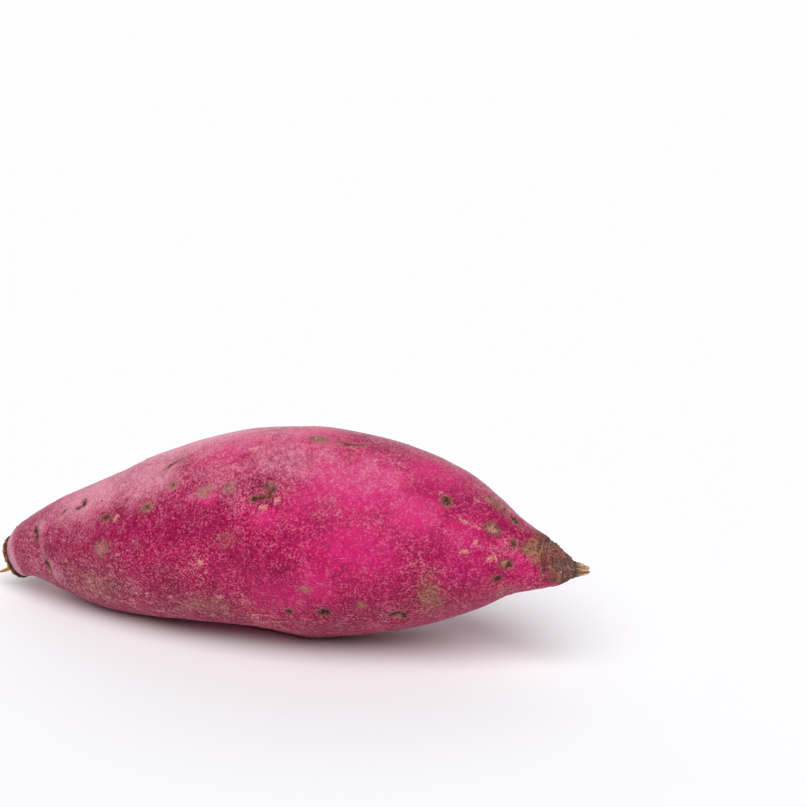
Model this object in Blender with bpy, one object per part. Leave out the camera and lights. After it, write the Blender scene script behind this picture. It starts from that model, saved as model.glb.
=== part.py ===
"""Sweet potato: one whole storage root, grown as one piece and lying on its belly. Metres, +Z up.

The root runs along X, from the stem scar at -X to the snapped-off root tail at +X. The origin is the
middle of the small flat spot that it rests on, under its weight. A place on the skin is given in mm
along X and in degrees round the root: 0 faces -Y, 90 is the top, 180 faces +Y and 270 is the belly.
"""

import math
import random

import bmesh
import bpy
from mathutils import Vector, noise

NODE = "sweet_potato"
MM = 0.001

# Sections across the root, in mm: place along X, top, underside, breadth, and sideways drift of the middle.
SECTIONS = (
    (-86.0, 15.3, 4.8, 11.2, 2.6),
    (-83.0, 19.4, 5.2, 15.6, 2.3),
    (-78.0, 24.0, 5.7, 20.5, 1.9),
    (-72.0, 28.0, 4.8, 24.5, 1.5),
    (-64.0, 32.4, 2.6, 31.0, 0.9),
    (-52.0, 38.4, 0.4, 39.0, 0.3),
    (-36.0, 46.4, -0.5, 47.5, 0.0),
    (-14.0, 54.0, -0.6, 55.5, -0.3),
    (8.0, 57.7, -0.5, 58.0, -0.3),
    (22.0, 56.7, 2.1, 56.0, 0.0),
    (36.0, 54.3, 4.9, 50.0, 0.2),
    (50.0, 49.5, 10.7, 41.0, 0.0),
    (60.0, 44.2, 14.9, 31.0, -0.5),
    (67.0, 39.3, 18.9, 21.5, -1.0),
    (73.0, 36.2, 21.2, 15.2, -1.4),
    (79.0, 32.3, 23.3, 9.4, -1.7),
    (82.4, 29.8, 25.5, 4.8, -1.8),
)
STEM_X = SECTIONS[0][0]
TAIL_X = SECTIONS[-1][0]
# The belly has settled this far flat under the root's own weight.
SETTLED = 1.1

# The mesh: rings along X, closer together towards the ends, and sides round each ring.
RINGS = 62
SIDES = 42
END_CROWDING = 0.085

# The sections lean near the stem, so that the scar faces downwards: mm along X for each mm up from this
# far above the middle.
STEM_LEAN, STEM_LEAN_ABOVE = -0.49, 2.7
STEM_LEAN_REACH = 14.0

# The flesh swells between the rows of rootlet scars: share of the radius, lobes, turn at X = 0, twist per mm.
LOBES = (
    (0.012, 3, 40.0, -0.8),
    (0.009, 5, -60.0, 0.5),
)
# Uneven growth: the size of the swellings and their height, in mm.
SWELLINGS = (
    (24.0, 0.8),
    (10.0, 0.25),
)
# Broad shallow hollows: X, angle, half length, half arc in degrees, depth. The last one has a negative
# depth: it is the swelling of the belly that carries the root.
HOLLOWS = (
    (-18.0, 293.0, 18.0, 16.0, 1.9),
    (-4.0, 295.0, 14.0, 12.0, 2.9),
    (28.0, 150.0, 22.0, 30.0, 1.1),
    (-40.0, 205.0, 18.0, 28.0, 1.0),
    (62.0, 300.0, 9.0, 40.0, 0.7),
    (-39.0, 266.0, 16.0, 17.0, 1.6),
    (-4.0, 276.0, 17.0, 11.0, -1.8),
)
# Creases part of the way round: X and angle of the middle, half arc in degrees, width, depth, and
# slant in mm per degree.
CREASES = (
    (-70.4, 10.0, 60.0, 2.6, 0.9, -0.12),
    (-72.0, 170.0, 60.0, 3.0, 0.6, 0.05),
    (24.0, 66.0, 24.0, 4.0, 0.35, 0.02),
    (44.0, 190.0, 55.0, 3.5, 0.4, -0.03),
)
# From the first place the skin turns to rough cork, fully so by the second: grain size and height.
CORK_FROM, CORK_FULL = 70.0, 78.0
CORK_GRAIN, CORK_HEIGHT = 2.6, 0.5
# All of this is lower in proportion where the root is thinner than this radius.
FULL_RELIEF_RADIUS = 12.0

# Rootlet scars in a dimple, on the side that faces -Y: X, angle, radius, depth.
FRONT_EYES = (
    (-72.4, 28.0, 1.5, 0.7),
    (-67.0, 346.0, 1.6, 0.8),
    (-56.2, 55.0, 1.6, 0.7),
    (-44.8, 34.0, 1.5, 0.5),
    (-24.8, 48.0, 1.5, 0.5),
    (4.6, 38.0, 2.8, 1.1),
    (12.2, 331.0, 1.5, 0.5),
    (21.7, 329.0, 1.9, 0.9),
    (39.7, 319.0, 1.9, 0.9),
    (51.0, 55.0, 1.7, 0.8),
    (63.0, 49.0, 2.2, 0.5),
    (65.3, 346.0, 1.5, 0.7),
    (67.0, 10.0, 1.9, 0.6),
    (67.0, 85.0, 1.5, 0.7),
)
# The other rows of scars, each along one angle, with the places drawn at random from this seed.
BACK_ROWS = (124.0, 170.0, 212.0, 246.0)
BACK_ROW_FIRST, BACK_ROW_LAST, BACK_ROW_EYES = -62.0, 66.0, 4
BACK_SEED = 7
# The rim round a dimple is swollen, by this share of the depth. The mesh is finer this far out, in radii.
EYE_RIM = 0.18
EYE_REACH = 1.35

# The stem scar, from the skin inwards: share of its radius, how far out, and how ragged it is there.
STEM_SCAR = (
    (0.95, 0.1, 0.15),
    (0.93, 1.5, 0.35),
    (0.84, 1.7, 0.35),
    (0.74, 0.6, 0.2),
    (0.45, 0.9, 0.2),
)
STEM_SCAR_MIDDLE = 0.5
SCAR_SEED = 5
# A thin dried stub of root still hangs from the scar: points, with the radius at each.
STUB = (
    ((-82.2, 1.6, 7.9), 1.0),
    ((-85.0, 1.3, 6.5), 0.72),
    ((-87.2, 1.1, 5.3), 0.52),
    ((-90.0, 0.8, 4.1), 0.42),
    ((-92.6, 0.3, 3.7), 0.2),
)
# The snapped tail ends in a tuft of stiff fibres round a woody core, X and radius of each given in mm.
TUFT_ROOT_X = 80.0
TUFT_TIP = (86.8, -1.8, 26.9)
CORE_RADIUS, CORE_TIP_RADIUS = 1.75, 0.75
FIBRES = 6
FIBRE_RADIUS, FIBRE_TIP_RADIUS = 0.62, 0.22
FIBRE_SPREAD, FIBRE_TIP_SPREAD = 1.45, 0.72
FIBRE_SHORTEST = 0.66
FIBRE_SEED = 3


def section(x):
    """Top, underside, breadth and drift at x: a smooth curve through the sections."""
    last = len(SECTIONS) - 1
    i = max(1, min(last, sum(x > row[0] for row in SECTIONS)))
    low, high = SECTIONS[i - 1], SECTIONS[i]
    step = high[0] - low[0]
    t = (x - low[0]) / step

    def slope(k, column):
        before, after = SECTIONS[max(0, k - 1)], SECTIONS[min(last, k + 1)]
        return (after[column] - before[column]) / (after[0] - before[0])

    values = []
    for column in range(1, 5):
        a, b = low[column], high[column]
        da, db = slope(i - 1, column) * step, slope(i, column) * step
        values.append((((2 * (a - b) + da + db) * t + 3 * (b - a) - 2 * da - db) * t + da) * t + a)
    return values


def turn_between(angle, other):
    """The turn from the other angle to this one, in degrees, the short way round."""
    return (angle - other + 180.0) % 360.0 - 180.0


def bell(distance, reach):
    return math.exp(-((distance / reach) ** 2))


def ramp(value, low, high):
    """0 up to low, 1 from high, and smooth between."""
    t = max(0.0, min(1.0, (value - low) / (high - low)))
    return t * t * (3 - 2 * t)


def back_eyes():
    """The dimples of the rows that face away, spaced along each row with some play."""
    draw = random.Random(BACK_SEED)
    gap = (BACK_ROW_LAST - BACK_ROW_FIRST) / BACK_ROW_EYES
    eyes = []
    for row in BACK_ROWS:
        for k in range(BACK_ROW_EYES):
            x = BACK_ROW_FIRST + gap * (k + draw.uniform(0.1, 0.9))
            angle = row + draw.uniform(-7.0, 7.0)
            eyes.append((x, angle, draw.uniform(1.4, 2.3), draw.uniform(0.5, 1.0)))
    return tuple(eyes)


EYES = FRONT_EYES + back_eyes()


def distance_on_skin(x, angle, radius, at, middle):
    return math.hypot(x - at, math.radians(turn_between(angle, middle)) * radius)


def relief(x, angle, radius, point):
    """How far the skin stands out from the plain section there, in mm."""
    rise = sum(height * noise.noise(point / size) for size, height in SWELLINGS)
    rise += ramp(x, CORK_FROM, CORK_FULL) * CORK_HEIGHT * noise.noise(point / CORK_GRAIN)
    for at, middle, half_length, half_arc, depth in HOLLOWS:
        rise -= depth * bell(x - at, half_length) * bell(turn_between(angle, middle), half_arc)
    for at, middle, half_arc, width, depth, slant in CREASES:
        turn = turn_between(angle, middle)
        rise -= depth * bell(x - at - slant * turn, width / 2) * bell(turn, half_arc)
    for at, middle, size, depth in EYES:
        away = distance_on_skin(x, angle, radius, at, middle)
        rise -= depth * (bell(away, size) - EYE_RIM * bell(away - 2 * size, size))
    return rise


def skin_point(x, angle):
    """The point of the skin at x and angle, in mm."""
    top, underside, breadth, drift = section(x)
    middle, half_height = (top + underside) / 2, (top - underside) / 2
    cos, sin = math.cos(math.radians(angle)), math.sin(math.radians(angle))
    lobed = 1.0
    for share, lobes, turn, twist in LOBES:
        lobed += share * math.cos(math.radians(lobes * angle + turn + twist * x))
    plain = Vector((x, drift - lobed * breadth / 2 * cos, middle + lobed * half_height * sin))
    radius = (breadth + top - underside) / 4
    out = min(1.0, radius / FULL_RELIEF_RADIUS) * relief(x, angle, radius, plain)
    point = plain + Vector((0.0, -out * cos, out * sin))
    lean = STEM_LEAN * max(0.0, 1.0 - (x - STEM_X) / STEM_LEAN_REACH) ** 2
    point.x += lean * (point.z - middle - STEM_LEAN_ABOVE)
    point.z = max(point.z - SETTLED, 0.0)
    return point


def place_of(point):
    """The x and angle of a point on or near the skin, and the root's radius there."""
    top, underside, breadth, drift = section(point.x)
    up = (point.z + SETTLED - (top + underside) / 2) / (top - underside)
    forward = (drift - point.y) / breadth
    return point.x, math.degrees(math.atan2(up, forward)), (breadth + top - underside) / 4


def ring_places():
    """Where the rings stand along X."""
    shares = [i / (RINGS - 1) for i in range(RINGS)]
    crowded = [t - END_CROWDING * math.sin(2 * math.pi * t) for t in shares]
    return [STEM_X + t * (TAIL_X - STEM_X) for t in crowded]


def band(bm, ring, other):
    """Quads between two rings with as many vertices."""
    for k in range(len(ring)):
        after = (k + 1) % len(ring)
        bm.faces.new((ring[k], other[k], other[after], ring[after]))


def loft_skin(bm):
    """Rings of quads along the root, closed by a flat face at the tail and open at the stem."""
    rings = []
    for x in ring_places():
        rings.append([bm.verts.new(skin_point(x, 360.0 * k / SIDES)) for k in range(SIDES)])
    for ring, other in zip(rings, rings[1:]):
        band(bm, ring, other)
    bm.faces.new(rings[-1])


def close_stem_scar(bm):
    """Closes the open stem end with a ragged corky lip round a dished scar."""
    draw = random.Random(SCAR_SEED)
    edge_ring = sorted((v for v in bm.verts if v.is_boundary), key=lambda v: place_of(v.co)[1])
    middle = sum((vertex.co for vertex in edge_ring), Vector()) / SIDES
    outward = Vector((-1.0, 0.0, STEM_LEAN)).normalized()
    outer = edge_ring
    for share, out, ragged in STEM_SCAR:
        spots = [middle.lerp(vertex.co, share) for vertex in edge_ring]
        inner = [bm.verts.new(spot + outward * (out + draw.uniform(-ragged, ragged))) for spot in spots]
        band(bm, outer, inner)
        outer = inner
    hub = bm.verts.new(middle + outward * STEM_SCAR_MIDDLE)
    for k in range(SIDES):
        bm.faces.new((outer[k], hub, outer[(k + 1) % SIDES]))


def refine_round_eyes(bm):
    """Splits the faces round each dimple in three each way, and lays the new vertices on the skin."""
    near = set()
    for face in bm.faces:
        x, angle, radius = place_of(face.calc_center_median())
        for at, middle, size, _ in EYES:
            if distance_on_skin(x, angle, radius, at, middle) < EYE_REACH * size:
                near.add(face)
    edges = list({edge for face in near for edge in face.edges})
    split = bmesh.ops.subdivide_edges(bm, edges=edges, cuts=2, use_grid_fill=True)
    for vertex in split["geom_inner"]:
        if isinstance(vertex, bmesh.types.BMVert):
            x, angle, _ = place_of(vertex.co)
            vertex.co = skin_point(x, angle)


def tapered_tube(name, points, radii, sides, collection):
    """A closed tube through the points, in mm, as an object in the collection."""
    bm = bmesh.new()
    last = len(points) - 1
    rings = []
    for k, radius in enumerate(radii):
        along = Vector(points[min(k + 1, last)]) - Vector(points[max(k - 1, 0)])
        turn = along.to_track_quat("Z", "Y")
        spokes = [Vector((math.cos(2 * math.pi * j / sides), math.sin(2 * math.pi * j / sides), 0))
                  for j in range(sides)]
        rings.append([bm.verts.new(Vector(points[k]) + turn @ spoke * radius) for spoke in spokes])
    for ring, other in zip(rings, rings[1:]):
        band(bm, ring, other)
    bm.faces.new(rings[0])
    bm.faces.new(rings[-1])
    return object_from(bm, name, collection)


def object_from(bm, name, collection):
    """The mesh, worked in mm, as an object in metres."""
    bmesh.ops.scale(bm, vec=(MM, MM, MM), verts=bm.verts)
    bmesh.ops.recalc_face_normals(bm, faces=bm.faces)
    mesh = bpy.data.meshes.new(name)
    bm.to_mesh(mesh)
    bm.free()
    made = bpy.data.objects.new(name, mesh)
    collection.objects.link(made)
    return made


def add_fibres(collection):
    """The stub of dried root at the stem scar, and the tuft at the tail."""
    tapered_tube("stub", [p for p, _ in STUB], [r for _, r in STUB], 6, collection)
    draw = random.Random(FIBRE_SEED)
    tip = Vector(TUFT_TIP)
    top, underside, _, drift = section(TUFT_ROOT_X)
    root = Vector((TUFT_ROOT_X, drift, (top + underside) / 2 - SETTLED))
    core = (root, root.lerp(tip, 0.5), tip)
    tapered_tube("core", core, (CORE_RADIUS, CORE_RADIUS * 0.85, CORE_TIP_RADIUS), 8, collection)
    for k in range(FIBRES):
        angle = 2 * math.pi * (k + draw.uniform(-0.2, 0.2)) / FIBRES
        spoke = Vector((0.0, math.cos(angle), math.sin(angle)))
        start, end = root + spoke * FIBRE_SPREAD, tip + spoke * FIBRE_TIP_SPREAD
        reach = draw.uniform(FIBRE_SHORTEST, 1.0)
        points = (start, start.lerp(end, 0.6 * reach), start.lerp(end, reach))
        tapered_tube(f"fibre_{k}", points, (FIBRE_RADIUS, FIBRE_RADIUS, FIBRE_TIP_RADIUS), 5, collection)


def fuse(root, collection):
    """Joins the collection's solids to the root with one Boolean union, and removes them."""
    union = root.modifiers.new("fuse_fibres", "BOOLEAN")
    union.operation = "UNION"
    union.operand_type = "COLLECTION"
    union.collection = collection
    union.solver = "EXACT"
    union.use_self = True
    graph = bpy.context.evaluated_depsgraph_get()
    fused = bpy.data.meshes.new_from_object(root.evaluated_get(graph))
    root.modifiers.remove(union)
    root.data = fused
    root.data.name = NODE
    for helper in list(collection.objects):
        bpy.data.objects.remove(helper)
    bpy.data.collections.remove(collection)


def skin_material():
    """Magenta-red sweet potato skin: matt, with a faint waxy shine."""
    material = bpy.data.materials.new("sweet_potato_skin")
    material.use_nodes = True
    shader = material.node_tree.nodes["Principled BSDF"]
    shader.inputs["Base Color"].default_value = (0.46, 0.025, 0.115, 1.0)
    shader.inputs["Roughness"].default_value = 0.5
    shader.inputs["Metallic"].default_value = 0.0
    return material


def make_root():
    bm = bmesh.new()
    loft_skin(bm)
    refine_round_eyes(bm)
    close_stem_scar(bm)
    bmesh.ops.triangulate(bm, faces=[face for face in bm.faces if len(face.verts) > 4])
    root = object_from(bm, NODE, bpy.context.scene.collection)
    fibres = bpy.data.collections.new("fibres")
    bpy.context.scene.collection.children.link(fibres)
    add_fibres(fibres)
    bpy.context.view_layer.update()
    fuse(root, fibres)
    root.data.materials.clear()
    root.data.materials.append(skin_material())
    root.data.shade_smooth()
    root.data.set_sharp_from_angle(angle=math.radians(50))
    return root


def clear_scene():
    for obj in list(bpy.data.objects):
        bpy.data.objects.remove(obj)


def main():
    clear_scene()
    make_root()


main()
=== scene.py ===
"""A whole red-skinned sweet potato, lying on its belly in a bright studio.

The root runs along X, from the stem scar at -X to the snapped root tail at +X. Sizes are in mm unless
a line says otherwise. A place on the skin is X and the angle round the root in degrees: 0 faces -Y,
90 is the top, 180 faces +Y and 270 is the belly.
"""

import math
import random

import bmesh
import bpy
import numpy as np
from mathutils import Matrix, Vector, noise


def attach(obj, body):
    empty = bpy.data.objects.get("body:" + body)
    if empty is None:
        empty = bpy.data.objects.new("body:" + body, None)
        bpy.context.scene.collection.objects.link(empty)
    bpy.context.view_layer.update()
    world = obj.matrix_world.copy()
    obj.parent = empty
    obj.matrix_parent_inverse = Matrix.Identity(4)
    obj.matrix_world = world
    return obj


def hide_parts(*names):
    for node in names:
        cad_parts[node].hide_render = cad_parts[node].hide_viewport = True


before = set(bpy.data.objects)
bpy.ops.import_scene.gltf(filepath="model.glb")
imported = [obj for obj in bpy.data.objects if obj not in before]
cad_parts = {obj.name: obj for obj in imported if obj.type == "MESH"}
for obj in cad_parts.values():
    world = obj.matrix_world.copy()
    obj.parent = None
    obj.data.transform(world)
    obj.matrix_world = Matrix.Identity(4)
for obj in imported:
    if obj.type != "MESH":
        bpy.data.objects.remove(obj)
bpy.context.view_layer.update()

# The skin. A storage root swells as one piece, plump in the middle and drawn out at both ends, under a
# thin red periderm. It has soft lobes, creases behind the nose, and rows of dimples where rootlets grew.

MM = 0.001

# Sections across the root: place along X, top, underside, breadth, and sideways drift of the middle.
SECTIONS = np.array((
    (-86, 15.3, 4.8, 11.2, 2.6),
    (-83, 19.4, 5.2, 15.6, 2.3),
    (-78, 24, 5.7, 20.5, 1.9),
    (-72, 28, 4.8, 24.5, 1.5),
    (-64, 32.4, 2.6, 31, 0.9),
    (-52, 38.4, 0.4, 39, 0.3),
    (-36, 46.4, -0.5, 47.5, 0),
    (-14, 54, -0.6, 55.5, -0.3),
    (8, 57.7, -0.5, 58, -0.3),
    (22, 56.7, 2.1, 56, 0),
    (36, 54.3, 4.9, 50, 0.2),
    (50, 49.5, 10.7, 41, 0),
    (60, 44.2, 14.9, 31, -0.5),
    (67, 39.3, 18.9, 21.5, -1),
    (73, 36.2, 21.2, 15.2, -1.4),
    (79, 32.3, 23.3, 9.4, -1.7),
    (82.4, 29.8, 25.5, 4.8, -1.8),
))
STEM_X, TAIL_X = SECTIONS[0][0], SECTIONS[-1][0]
# The belly has settled this far flat under the root's own weight.
SETTLED = 1.1
# The cut at the stem end leans: its shift along X for each mm of height, how high above the middle there
# is none, and how far along the root it fades out.
STEM_LEAN, STEM_LEAN_ABOVE, STEM_LEAN_REACH = -0.49, 2.7, 14.0

# Share of the radius, lobes, turn at X = 0, twist per mm.
LOBES = (
    (0.012, 3, 40, -0.8),
    (0.009, 5, -60, 0.5),
)
# Size and height of the swellings of uneven growth.
SWELLINGS = (
    (24, 0.8),
    (10, 0.25),
)
# X, angle, half length, half arc, depth.
HOLLOWS = (
    (-18, 293, 18, 16, 1.9),
    (-4, 295, 14, 12, 2.9),
    (28, 150, 22, 30, 1.1),
    (-40, 205, 18, 28, 1),
    (62, 300, 9, 40, 0.7),
    (-39, 266, 16, 17, 1.6),
    (-4, 276, 17, 11, -1.8),
)
# X, angle, half arc, width, depth, slant in mm per degree. The narrow ones only crease the skin itself.
CREASES = (
    (-70.4, 10, 60, 2.6, 0.9, -0.12),
    (-72, 170, 60, 3, 0.6, 0.05),
    (24, 66, 24, 4, 0.35, 0.02),
    (44, 190, 55, 3.5, 0.4, -0.03),
    (-76.5, 20, 50, 1.2, 0.22, -0.08),
    (-63, 60, 40, 1.1, 0.16, -0.04),
    (-60.5, 330, 30, 1, 0.14, -0.05),
    (59, 20, 34, 1.2, 0.14, 0.03),
    (70.5, 350, 50, 1.1, 0.2, 0.03),
    (74.5, 20, 70, 1, 0.25, 0.01),
    (22, 81, 9, 0.9, 0.3, 0.3),
    (-27.2, 66.5, 4.5, 0.8, 0.25, 0.8),
)
# The tail's cork starts and is full at these places along X, and its knobs have this size and height.
# All relief is lower where the root is thinner than the last radius.
CORK_FROM, CORK_FULL = 70.0, 78.0
CORK_KNOB, CORK_HEIGHT = 2.6, 0.5
FULL_RELIEF_RADIUS = 12.0

# Rootlet scars in a dimple: X, angle, radius, depth.
FRONT_EYES = (
    (-72.4, 28, 1.5, 0.7),
    (-67, 346, 1.6, 0.8),
    (-56.2, 55, 1.6, 0.7),
    (-44.8, 34, 1.5, 0.5),
    (-24.8, 48, 1.5, 0.5),
    (4.6, 38, 2.8, 1.1),
    (12.2, 331, 1.5, 0.5),
    (21.7, 329, 1.9, 0.9),
    (39.7, 319, 1.9, 0.9),
    (51, 55, 1.7, 0.8),
    (63, 49, 2.2, 0.5),
    (65.3, 346, 1.5, 0.7),
    (67, 10, 1.9, 0.6),
    (67, 85, 1.5, 0.7),
)
# The rows that face away: their angles, from where to where they run, how many scars each has, and the
# play in their spacing, angle, radius and depth.
BACK_ROWS = (124, 170, 212, 246)
BACK_ROW_FIRST, BACK_ROW_LAST, BACK_ROW_EYES = -62.0, 66.0, 4
BACK_SPACING, BACK_TURN, BACK_SIZES, BACK_DEPTHS = (0.1, 0.9), (-7, 7), (1.4, 2.3), (0.5, 1.0)
BACK_SEED = 7
# A dimple's rim stands proud by this share of its depth.
EYE_RIM = 0.18

# The mesh: rings along X, which crowd towards the ends, and sides round each. The ends round off over
# these lengths, with rings at these turns in degrees. It is finer within this many radii of a scar.
RINGS, SIDES = 330, 204
END_CROWDING = 0.03
STEM_ROUND, TAIL_ROUND = 0.2, 1.5
ROUND_TURNS = (15, 30, 45, 60, 72, 82)
EYE_REACH = 1.3
# Other places with fine detail: X, angle and reach.
FINE_PLACES = (
    (22, 81, 3.4),
    (-27.2, 66.5, 2.6),
    (57.4, 45, 3),
    (3.4, 322, 4.6),
)


def back_eyes():
    """The dimples of the rows that face away, spaced along each row with some play."""
    draw = random.Random(BACK_SEED)
    gap = (BACK_ROW_LAST - BACK_ROW_FIRST) / BACK_ROW_EYES
    eyes = []
    for row in BACK_ROWS:
        for k in range(BACK_ROW_EYES):
            x = BACK_ROW_FIRST + gap * (k + draw.uniform(*BACK_SPACING))
            angle = row + draw.uniform(*BACK_TURN)
            eyes.append((x, angle, draw.uniform(*BACK_SIZES), draw.uniform(*BACK_DEPTHS)))
    return tuple(eyes)


BACK_EYES = back_eyes()
EYES = FRONT_EYES + BACK_EYES


def section(x):
    """Top, underside, breadth and drift at each x: a smooth curve through the sections."""
    places = SECTIONS[:, 0]
    i = np.clip(np.searchsorted(places, x, side="left"), 1, len(places) - 1)
    before = np.maximum(np.arange(len(places)) - 1, 0)
    after = np.minimum(np.arange(len(places)) + 1, len(places) - 1)
    slopes = (SECTIONS[after] - SECTIONS[before]) / (places[after] - places[before])[:, None]
    step = (places[i] - places[i - 1])[:, None]
    t = (x[:, None] - places[i - 1][:, None]) / step
    a, b = SECTIONS[i - 1], SECTIONS[i]
    da, db = slopes[i - 1] * step, slopes[i] * step
    curve = (((2 * (a - b) + da + db) * t + 3 * (b - a) - 2 * da - db) * t + da) * t + a
    return curve[:, 1:].T


def turn_between(angle, other):
    """The turn from the other angle to this one, in degrees, the short way round."""
    return (angle - other + 180.0) % 360.0 - 180.0


def bell(distance, reach):
    return np.exp(-((distance / reach) ** 2))


def ramp(value, low, high):
    """0 up to low, 1 from high, and smooth between."""
    t = np.clip((value - low) / (high - low), 0.0, 1.0)
    return t * t * (3 - 2 * t)


def grain(points, size):
    """Smooth noise of the given size at each point, about -1 to 1."""
    return np.array([noise.noise(Vector(p)) for p in points / size])


class Skin:
    """The skin at many places at once: x and angle are arrays. Past either end it rounds off to a point."""

    def __init__(self, x, angle):
        self.x, self.angle = x, angle
        past = np.maximum((STEM_X - x) / STEM_ROUND, (x - TAIL_X) / TAIL_ROUND)
        self.closing = np.sqrt(1.0 - np.clip(past, 0.0, 1.0) ** 2)
        self.along = np.clip(x, STEM_X, TAIL_X)
        self.top, self.underside, self.breadth, self.drift = section(self.along)
        self.radius = (self.breadth + self.top - self.underside) / 4
        self.cos, self.sin = np.cos(np.radians(angle)), np.sin(np.radians(angle))
        lobed = 1.0
        for share, lobes, turn, twist in LOBES:
            lobed = lobed + share * np.cos(np.radians(lobes * angle + turn + twist * self.along))
        self.middle = (self.top + self.underside) / 2
        y = self.drift - self.closing * lobed * self.breadth / 2 * self.cos
        z = self.middle + self.closing * lobed * (self.top - self.underside) / 2 * self.sin
        self.plain = np.stack((x, y, z), axis=1)

    def away(self, at, middle):
        """Distance along the skin from a place, in mm: along the root, and round it."""
        return self.x - at, np.radians(turn_between(self.angle, middle)) * self.radius

    def relief(self):
        """How far the skin stands out from the plain section, in mm."""
        rise = sum(height * grain(self.plain, size) for size, height in SWELLINGS)
        rise += ramp(self.x, CORK_FROM, CORK_FULL) * CORK_HEIGHT * grain(self.plain, CORK_KNOB)
        for at, middle, half_length, half_arc, depth in HOLLOWS:
            rise -= depth * bell(self.x - at, half_length) * bell(turn_between(self.angle, middle), half_arc)
        for at, middle, half_arc, width, depth, slant in CREASES:
            turn = turn_between(self.angle, middle)
            rise -= depth * bell(self.x - at - slant * turn, width / 2) * bell(turn, half_arc)
        for at, middle, size, depth in EYES:
            away = np.hypot(*self.away(at, middle))
            rise -= depth * (bell(away, size) - EYE_RIM * bell(away - 2 * size, size))
        return rise

    def points(self, fine):
        """The points of the skin in mm, with the fine relief added to the broad one."""
        out = np.minimum(1.0, self.radius / FULL_RELIEF_RADIUS) * self.relief() + fine
        out = out * self.closing
        point = self.plain + np.stack((0 * out, -out * self.cos, out * self.sin), axis=1)
        lean = STEM_LEAN * np.maximum(0.0, 1.0 - (self.along - STEM_X) / STEM_LEAN_REACH) ** 2
        point[:, 0] += lean * (point[:, 2] - self.middle - STEM_LEAN_ABOVE)
        point[:, 2] = np.maximum(point[:, 2] - SETTLED, 0.0)
        return point


# Marks on the skin: X, angle, half length, half breadth and, where there is one, a tilt in degrees.
# Dark rootlet scars:
SCARS = (
    (2.1, 35.6, 0.9, 0.7, 20),
    (3.8, 37, 1, 0.6, 20),
    (5.9, 38.6, 0.7, 1.1, 10),
    (6.6, 41.4, 0.6, 0.7),
    (4.6, 43.5, 0.6, 0.4, 30),
    (-24.9, 49, 0.5, 0.4),
    (-31.2, 35.5, 0.7, 0.5),
    (-45.1, 34, 1.2, 0.6),
    (-56, 56, 0.8, 1.1, 20),
    (-57.4, 52, 0.8, 0.7),
    (-62.8, 53, 0.6, 0.4, 40),
    (-73, 36, 0.7, 1),
    (-72.2, 27, 0.6, 1.4),
    (-67.2, 347, 0.9, 1.4, 25),
    (-66.2, 342, 0.4, 1.5, 30),
    (12.2, 331, 0.8, 0.7),
    (21.6, 329, 1.4, 1.3),
    (39.4, 321.8, 1.5, 1, 10),
    (41.2, 319, 0.6, 1.1),
    (50.8, 57, 0.8, 0.9),
    (65.2, 344.5, 0.8, 0.9),
    (66.6, 88, 0.8, 0.7),
    (68.3, 42, 0.6, 0.9, 10),
    (67.9, 8, 0.8, 0.7, 30),
    (20.6, 80.2, 1.2, 0.34),
    (22.8, 80.9, 1.5, 0.3, 24),
    (-28.4, 65.2, 0.8, 0.24, 70),
    (-27.2, 66.8, 1.1, 0.24, 28),
    (-26, 67.3, 0.6, 0.22, -20),
)
# Grey-olive scabs of healed skin:
SCABS = (
    (62.9, 50, 2.1, 2.1),
    (67, 9.5, 1.8, 1.4, 30),
    (50.8, 57, 1.5, 1.5),
    (71.5, 40, 1.4, 1.6),
    (13.2, 79, 1.9, 1.1),
    (5.6, 43.9, 1.2, 0.6),
    (62.6, 89, 1.7, 1.3, 20),
    (60, 92, 1.3, 1),
    (66.7, 87, 1.3, 1),
)
# Old scabs, nearly grown over:
FADED_SCABS = (
    (-44.7, 10, 2.1, 1.9),
    (-13.1, 41, 1.9, 1.5),
    (-6.1, 42, 1.5, 1.3),
    (-31.3, 34.5, 1.7, 1.2),
    (18.1, 348, 1, 0.9),
    (31.9, 335, 0.9, 0.9),
    (-24.9, 49, 1.3, 1),
    (13.2, 79, 2.6, 1.7),
)
# Pale rubbed flakes and corky streaks:
RUBS = (
    (8.7, 35, 1.3, 1.1),
    (5.1, 31, 1.3, 1),
    (-2.2, 68, 1.9, 0.8, 15),
    (23, 77.6, 1.3, 0.3, 14),
    (57.1, 45.8, 2.2, 0.34, 6),
    (56.2, 43.6, 1.5, 0.3, 4),
    (59, 44.4, 1.3, 0.3, 12),
    (59.9, 30, 1, 0.3, 68),
    (57.2, 74, 0.8, 0.7),
    (72.9, 33, 1.3, 0.3, 62),
    (73.8, 60, 0.9, 0.5, 50),
    (-11.3, 0, 1, 0.9),
    (31.8, 335, 0.5, 0.5),
    (-1, 323, 1.5, 0.3),
    (1.6, 327, 2.3, 0.3, 4),
    (3.2, 321, 2.6, 0.32, -3),
    (5.6, 327.5, 2, 0.3),
    (6.8, 318, 2.2, 0.32, -5),
    (8.6, 322, 1.5, 0.3, 6),
    (0.2, 316, 1.8, 0.3),
    (-36, 330, 1, 0.5),
    (-29, 322, 1.8, 0.4),
    (-38.8, 325, 2.6, 0.32, -4),
    (-34.5, 320, 1.7, 0.3),
    (-22, 337, 1, 0.6),
    (-58.2, 358.5, 0.7, 0.6),
    (-62.8, 44, 0.9, 0.7),
    (-59.6, 19, 0.7, 0.6),
    (-41, 31, 0.9, 0.9),
    (-38.5, 5, 1.1, 0.5, 20),
    (57.7, 18, 1.1, 0.6),
    (64.2, 15, 1.1, 0.6, 20),
    (-6.6, 339, 0.9, 0.7),
    (27.8, 322, 1.5, 0.4),
    (49, 62, 0.7, 0.6),
    (18.1, 348, 0.5, 0.5),
)
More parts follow.
